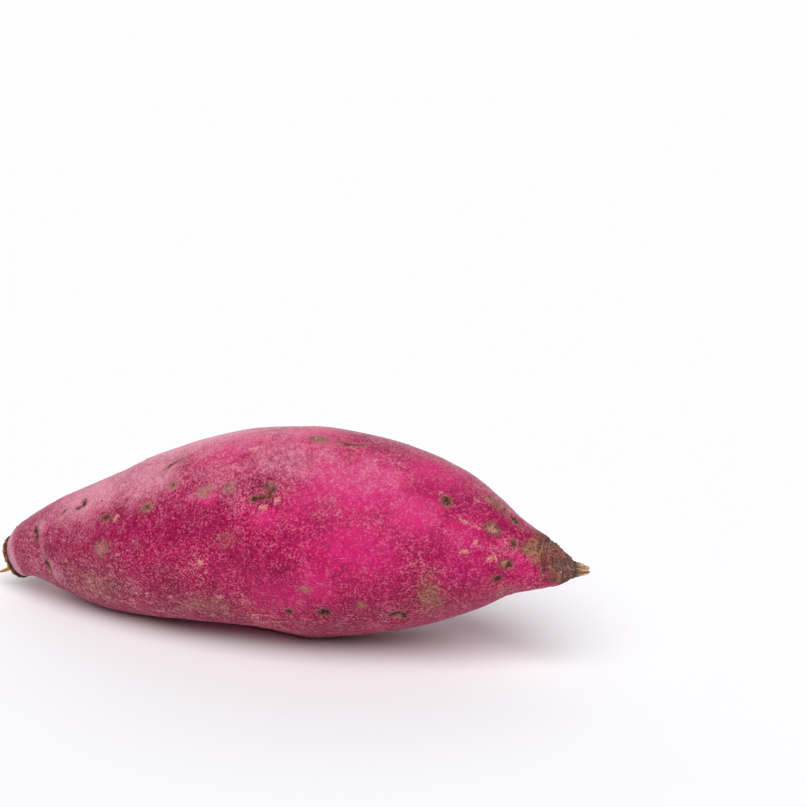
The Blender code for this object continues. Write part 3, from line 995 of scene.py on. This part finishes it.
def fibre_bundle():
    """The tree of a bundle: each fibre follows the path at its own place in the bundle's radius."""
    tree = new_tree("fibre_bundle", BUNDLE_INPUTS)
    given = tree.nodes.new("NodeGroupInput").outputs
    threads = add(tree, "GeometryNodeResampleCurve", given["Path"], Count=FIBRE_POINTS)
    copies = tree.nodes.new("GeometryNodeDuplicateElements")
    copies.domain = "SPLINE"
    tree.links.new(threads, copies.inputs["Geometry"])
    tree.links.new(given["Fibres"], copies.inputs["Amount"])
    threads = add(tree, "GeometryNodeStoreNamedAttribute", copies.outputs["Geometry"], Name="thread",
                  Value=copies.outputs["Duplicate Index"], data_type="INT", domain="CURVE")
    thread = add(tree, "GeometryNodeInputNamedAttribute", "thread", data_type="INT")
    # Each fibre's length, place round the bundle, distance from its middle, thickness and shade.
    reach, turn, spread, stout, shade = (
        add(tree, "FunctionNodeRandomValue", least, most, ID=thread,
            Seed=add(tree, "FunctionNodeIntegerMath", given["Seed"], number, operation="ADD"))
        for number, (least, most) in enumerate((
            (given["Shortest"], 1.0),
            (0.0, 2 * math.pi),
            (0.0, 1.0),
            (FIBRE_LEAST, FIBRE_MOST),
            (0.0, 1.0),
        ))
    )
    spread = add(tree, "ShaderNodeMath", spread, 0.5, operation="POWER")
    factor = add(tree, "GeometryNodeSplineParameter", out="Factor")
    share = add(tree, "ShaderNodeMath", factor, reach, operation="MULTIPLY")
    turn = add(tree, "ShaderNodeMath", share, given["Twist"], turn, operation="MULTIPLY_ADD")

    radius = add(tree, "GeometryNodeInputRadius")
    at = tree.nodes.new("GeometryNodeSampleCurve")
    at.data_type = "FLOAT"
    tree.links.new(given["Path"], at.inputs["Curves"])
    tree.links.new(radius, next(s for s in at.inputs if s.name == "Value" and s.enabled))
    tree.links.new(share, at.inputs["Factor"])
    value = next(s for s in at.outputs if s.name == "Value" and s.enabled)
    across = add(tree, "ShaderNodeMath", spread, value, operation="MULTIPLY")
    side = add(tree, "ShaderNodeVectorMath", at.outputs["Tangent"], at.outputs["Normal"],
               operation="CROSS_PRODUCT")
    spot = at.outputs["Position"]
    for way, wave in ((at.outputs["Normal"], "COSINE"), (side, "SINE")):
        far = add(tree, "ShaderNodeMath", turn, operation=wave)
        far = add(tree, "ShaderNodeMath", far, across, operation="MULTIPLY")
        shift = add(tree, "ShaderNodeVectorMath", way, Scale=far, operation="SCALE")
        spot = add(tree, "ShaderNodeVectorMath", spot, shift, operation="ADD")
    spot = add(tree, "ShaderNodeVectorMath", spot, play(tree, spot, FIBRE_BEND, given["Wander"]),
               operation="ADD")
    threads = add(tree, "GeometryNodeSetPosition", threads, Position=spot)

    taper = add(tree, "ShaderNodeMapRange", factor, TAPER_FROM, 1.0, 1.0, TIP_SHARE)
    thick = add(tree, "ShaderNodeMath", given["Thickness"], stout, operation="MULTIPLY")
    thick = add(tree, "ShaderNodeMath", thick, taper, operation="MULTIPLY")
    for name, value in (("shade", shade), ("reach", share)):
        threads = add(tree, "GeometryNodeStoreNamedAttribute", threads, Name=name, Value=value,
                      data_type="FLOAT", domain="POINT")
    ring = add(tree, "GeometryNodeCurvePrimitiveCircle", FIBRE_SIDES, Radius=1.0)
    made = add(tree, "GeometryNodeCurveToMesh", threads, ring, thick, Fill_Caps=True)
    made = add(tree, "GeometryNodeRealizeInstances", made)
    made = add(tree, "GeometryNodeSetMaterial", made, Material=given["Material"])
    add(tree, "NodeGroupOutput", made)
    return tree


def path_curve(name, path):
    """A smooth curve through the points, with the bundle's radius at each."""
    curve = bpy.data.curves.new(name, "CURVE")
    curve.dimensions = "3D"
    spline = curve.splines.new("BEZIER")
    spline.bezier_points.add(len(path) - 1)
    for knot, (point, radius) in zip(spline.bezier_points, path):
        knot.co = Vector(point) * MM
        knot.radius = radius * MM
        knot.handle_left_type = knot.handle_right_type = "AUTO"
    return curve


# Dry root fibre: woody threads, dried to straw. They are dull, each of its own shade, browner at the
# root and paler at the broken tips.
def dry_fibre(name, root_colour, tip_colour, dark_colour, pale_from):
    material, tree = new_material(name)
    place = add(tree, "ShaderNodeTexCoord", out="Object")
    grit = add(tree, "ShaderNodeTexNoise", place, Scale=1 / (0.4 * MM), Detail=2.0, Roughness=0.6)
    reach = add(tree, "ShaderNodeAttribute", attribute_name="reach", out="Fac")
    shade = add(tree, "ShaderNodeAttribute", attribute_name="shade", out="Fac")
    colour = coats(
        tree, linear(root_colour),
        (tip_colour, reach, pale_from, pale_from + 0.35, 1.0),
        (dark_colour, shade, 0.55, 0.95, 0.75),
        (dark_colour, grit, 0.46, 0.36, 0.6),
    )
    bump = add(tree, "ShaderNodeBump", Height=grit, Strength=0.5, Distance=0.2 * MM)
    return surfaced(material, Base_Color=colour, Roughness=0.75, Specular_IOR_Level=0.3, Normal=bump)


bundle = fibre_bundle()
stub_wood = dry_fibre("dry_stub_fibre", "#7A4526", "#D08F4E", "#8A5630", pale_from=0.25)
stub = grown("dried_stub", path_curve("stub_path", STUB_PATH), bundle, {
    "Fibres": 26, "Thickness": 0.2 * MM, "Shortest": 0.55, "Twist": 2.2, "Wander": 0.3 * MM, "Seed": 21,
    "Material": stub_wood,
})
finish_piece(stub)
# The tail fibres' dark root colour is painted shade in the hollow where they leave the root.
tuft_wood = dry_fibre("dry_tail_fibre", "#3E2820", "#DCB08C", "#6E4A34", pale_from=0.47)
tuft = grown("tail_fibres", path_curve("tuft_path", TUFT_PATH), bundle, {
    "Fibres": 110, "Thickness": 0.26 * MM, "Shortest": 0.62, "Twist": 0.5, "Wander": 0.5 * MM, "Seed": 31,
    "Material": tuft_wood,
})
finish_piece(tuft)

# What still holds on to the skin: dry root hairs in the scars, flakes of shed periderm where it was
# rubbed, and crumbs of soil in the pits and on the cork. Each kind is scattered over its own places.

SCATTER_INPUTS = {
    "Skin": "Object", "Piece": "Object", "Places": "String", "Density": "Float", "Smallest": "Float",
    "Largest": "Float", "Tilt": "Float", "Sink": "Float", "Roughness": "Float", "Seed": "Int",
    "Material": "Material",
}
# The size of the lumps on the loose pieces.
LUMPS = 0.5
# A hair of unit length: its radius, which shrinks by a share towards the tip, and how far it bends over,
# sways and droops.
HAIR_RINGS, HAIR_SIDES, HAIR_RADIUS, HAIR_SHRINK = 6, 4, 0.045, 0.7
HAIR_BEND, HAIR_SWAY, HAIR_DROOP = 0.45, 0.1, 0.25
# A flake of unit length: its breadth and thickness, its crook sideways, and its curl along and across.
FLAKE_BREADTH, FLAKE_THICKNESS, FLAKE_CROOK = 0.55, 0.09, 0.25
FLAKE_CURL, FLAKE_CUP = 0.5, 0.2


def scatter_on_skin():
    """The tree of a scatter: pieces stand on the skin where the named attribute is above 0."""
    tree = new_tree("scatter_on_skin", SCATTER_INPUTS)
    given = tree.nodes.new("NodeGroupInput").outputs
    ground = add(tree, "GeometryNodeObjectInfo", given["Skin"], out="Geometry")
    weight = add(tree, "GeometryNodeInputNamedAttribute", given["Places"], data_type="FLOAT")
    density = add(tree, "ShaderNodeMath", weight, given["Density"], operation="MULTIPLY")
    spots = tree.nodes.new("GeometryNodeDistributePointsOnFaces")
    tree.links.new(ground, spots.inputs["Mesh"])
    tree.links.new(density, next(s for s in spots.inputs if s.name == "Density" and s.enabled))
    tree.links.new(given["Seed"], spots.inputs["Seed"])
    sink = add(tree, "ShaderNodeVectorMath", spots.outputs["Normal"], Scale=given["Sink"], operation="SCALE")
    sink = add(tree, "ShaderNodeVectorMath", sink, (-1.0, -1.0, -1.0), operation="MULTIPLY")
    points = add(tree, "GeometryNodeSetPosition", spots.outputs["Points"], Offset=sink)

    lean = add(tree, "ShaderNodeCombineXYZ", given["Tilt"], given["Tilt"], math.pi)
    least = add(tree, "ShaderNodeVectorMath", lean, (-1.0, -1.0, -1.0), operation="MULTIPLY")
    turn = add(tree, "FunctionNodeRandomValue", least, lean, data_type="FLOAT_VECTOR", Seed=given["Seed"])
    turn = add(tree, "FunctionNodeEulerToRotation", turn)
    turn = add(tree, "FunctionNodeRotateRotation", spots.outputs["Rotation"], turn, rotation_space="LOCAL")
    size, shade = (
        add(tree, "FunctionNodeRandomValue", least, most,
            Seed=add(tree, "FunctionNodeIntegerMath", given["Seed"], number, operation="ADD"))
        for number, least, most in ((1, given["Smallest"], given["Largest"]), (2, 0.0, 1.0))
    )
    piece = add(tree, "GeometryNodeObjectInfo", given["Piece"], out="Geometry")
    made = add(tree, "GeometryNodeInstanceOnPoints", points, Instance=piece, Rotation=turn, Scale=size)
    made = add(tree, "GeometryNodeStoreNamedAttribute", made, Name="shade", Value=shade,
               data_type="FLOAT", domain="INSTANCE")
    made = add(tree, "GeometryNodeRealizeInstances", made)
    place = add(tree, "GeometryNodeInputPosition")
    made = add(tree, "GeometryNodeSetPosition", made, Offset=play(tree, place, LUMPS, given["Roughness"]))
    made = add(tree, "GeometryNodeSetMaterial", made, Material=given["Material"])
    add(tree, "NodeGroupOutput", made)
    return tree


def hair_shape(bm):
    """A thin hair of unit length that bends over towards its tip."""
    rings = []
    for i in range(HAIR_RINGS):
        t = i / (HAIR_RINGS - 1)
        radius = HAIR_RADIUS * (1.0 - HAIR_SHRINK * t)
        middle = Vector((HAIR_BEND * t * t, HAIR_SWAY * math.sin(5 * t), t * (1.0 - HAIR_DROOP * t)))
        turns = [2 * math.pi * k / HAIR_SIDES for k in range(HAIR_SIDES)]
        rings.append([bm.verts.new(middle + Vector((math.cos(a), math.sin(a), 0)) * radius) for a in turns])
    join_rings(bm, rings)
    bm.faces.new(reversed(rings[0]))
    bm.faces.new(rings[-1])


def flake_shape(bm):
    """A thin curled scale of unit length."""
    bmesh.ops.create_icosphere(bm, subdivisions=2, radius=0.5)
    for vertex in bm.verts:
        x, y, z = vertex.co
        height = FLAKE_THICKNESS * z + FLAKE_CURL * x * x + FLAKE_CUP * y * y
        vertex.co = (x, FLAKE_BREADTH * y + FLAKE_CROOK * x * x, height)


def crumb_shape(bm):
    bmesh.ops.create_icosphere(bm, subdivisions=1, radius=0.5)


def scattered(name, shape, places, density, sizes, tilt, sink, roughness, seed, material):
    """One kind of loose piece, scattered over the skin. Sizes in mm, density in pieces per square mm."""
    bm = bmesh.new()
    shape(bm)
    pattern = bpy.data.objects.new(name + "_shape", smooth_mesh(bm, name + "_shape"))
    bpy.context.scene.collection.objects.link(pattern)
    piece = grown(name, bpy.data.meshes.new(name + "_none"), scatter, {
        "Skin": skin, "Piece": pattern, "Places": places, "Density": density / MM ** 2,
        "Smallest": sizes[0] * MM, "Largest": sizes[1] * MM, "Tilt": math.radians(tilt),
        "Sink": sink * MM, "Roughness": roughness * MM, "Seed": seed, "Material": material,
    })
    bpy.data.objects.remove(pattern)
    finish_piece(piece)


# Loose stuff: soil and shed skin, dry as dust. It is dull all over, and no two bits have quite the
# same shade.
def loose_stuff(name, dark, light):
    material, tree = new_material(name)
    place = add(tree, "ShaderNodeTexCoord", out="Object")
    dust = add(tree, "ShaderNodeTexNoise", place, Scale=1 / (0.3 * MM), Detail=2.0, Roughness=0.6)
    shade = add(tree, "ShaderNodeAttribute", attribute_name="shade", out="Fac")
    colour = coats(tree, linear(dark), (light, plus(tree, shade, (dust, 0.8)), 0.3, 1.4, 1.0))
    return surfaced(material, Base_Color=colour, Roughness=0.9, Specular_IOR_Level=0.2)


scatter = scatter_on_skin()
scattered("rootlet_hairs", hair_shape, "hairy", density=2.4, sizes=(0.7, 2.1), tilt=55, sink=0.05,
          roughness=0.25, seed=41, material=loose_stuff("dry_root_hair", "#6E5240", "#E2CDB0"))
scattered("skin_flakes", flake_shape, "flaky", density=0.35, sizes=(0.4, 1.0), tilt=14, sink=0.02,
          roughness=0.15, seed=42, material=loose_stuff("shed_periderm", "#B07460", "#DDB096"))
scattered("soil_crumbs", crumb_shape, "soily", density=2.2, sizes=(0.16, 0.5), tilt=180, sink=0,
          roughness=0.2, seed=43, material=loose_stuff("dried_clay_soil", "#22140F", "#684634"))

# The table, light and camera: a seamless white table in a white studio. A broad soft light hangs above
# the root and in front of it, the far wall is as bright as the table, and the camera's side is darker.

# The camera's turn and rise in degrees, its lens, and how far it is from its aim, with both in m.
CAMERA_TURN, CAMERA_RISE = 20.0, 15.0
LENS_MM, SENSOR_MM = 90.0, 36.0
CAMERA_DISTANCE = 0.552
AIM = Vector((0.02792, 0.01969, 0.06083))

turn, rise = math.radians(CAMERA_TURN), math.radians(CAMERA_RISE)
back = Vector((math.sin(turn) * math.cos(rise), -math.cos(turn) * math.cos(rise), math.sin(rise)))
camera_data = bpy.data.cameras.new("camera")
camera_data.lens = LENS_MM
camera_data.sensor_width = SENSOR_MM
camera_data.clip_end = 100.0
camera = bpy.data.objects.new("camera", camera_data)
camera.location = AIM + back * CAMERA_DISTANCE
camera.rotation_euler = back.to_track_quat("Z", "Y").to_euler()
bpy.context.scene.collection.objects.link(camera)
bpy.context.scene.camera = camera

# Half the table's width in m.
FLOOR_HALF = 30.0
# Matt white laminate: it only shades softly under the root, and has no gloss.
table_top, _ = new_material("matt_white_table")
surfaced(table_top, Base_Color=linear("#F6F6F8"), Roughness=0.9, Specular_IOR_Level=0.0)
floor_mesh = bpy.data.meshes.new("floor")
corners = [(x * FLOOR_HALF, y * FLOOR_HALF, 0) for x, y in ((-1, -1), (1, -1), (1, 1), (-1, 1))]
floor_mesh.from_pydata(corners, [], [(0, 1, 2, 3)])
floor = bpy.data.objects.new("floor", floor_mesh)
floor_mesh.materials.append(table_top)
bpy.context.scene.collection.objects.link(floor)

# The way to the middle of the light, its width in degrees from the table, and its power in W per square m.
LIGHT_WAY = Vector((0.12, -0.52, 0.84))
LIGHT_WIDTH = 62.0
LIGHT_POWER = 2.66
# The way to the far wall, the cosines between which it fades in, and how bright the other walls and it are.
FAR_WALL_WAY = (-0.34, 0.94, 0.0)
FAR_WALL_EDGE, FAR_WALL_FULL = 0.4, 0.95
DOME_GLOW, FAR_WALL_GLOW = 0.21, 1.6

lamp_data = bpy.data.lights.new("softbox", "SUN")
lamp_data.angle = math.radians(LIGHT_WIDTH)
lamp_data.energy = LIGHT_POWER
lamp = bpy.data.objects.new("softbox", lamp_data)
lamp.rotation_euler = LIGHT_WAY.to_track_quat("Z", "Y").to_euler()
bpy.context.scene.collection.objects.link(lamp)

world = bpy.data.worlds.new("white_studio")
world.use_nodes = True
world_tree = world.node_tree
way = add(world_tree, "ShaderNodeTexCoord", out="Generated")
facing = add(world_tree, "ShaderNodeVectorMath", way, FAR_WALL_WAY, operation="DOT_PRODUCT", out="Value")
glow = add(world_tree, "ShaderNodeMapRange", facing, FAR_WALL_EDGE, FAR_WALL_FULL, DOME_GLOW,
           FAR_WALL_GLOW, interpolation_type="SMOOTHSTEP")
# The walls look as white as the table where they are seen past its edge.
seen = add(world_tree, "ShaderNodeLightPath", out="Is Camera Ray")
glow = add(world_tree, "ShaderNodeMix", seen, glow, 1.0, data_type="FLOAT")
background = world_tree.nodes["Background"]
fill(world_tree, background.inputs["Color"], linear("#FDFDFF"))
fill(world_tree, background.inputs["Strength"], glow)
bpy.context.scene.world = world
bpy.context.scene.view_settings.view_transform = "Standard"
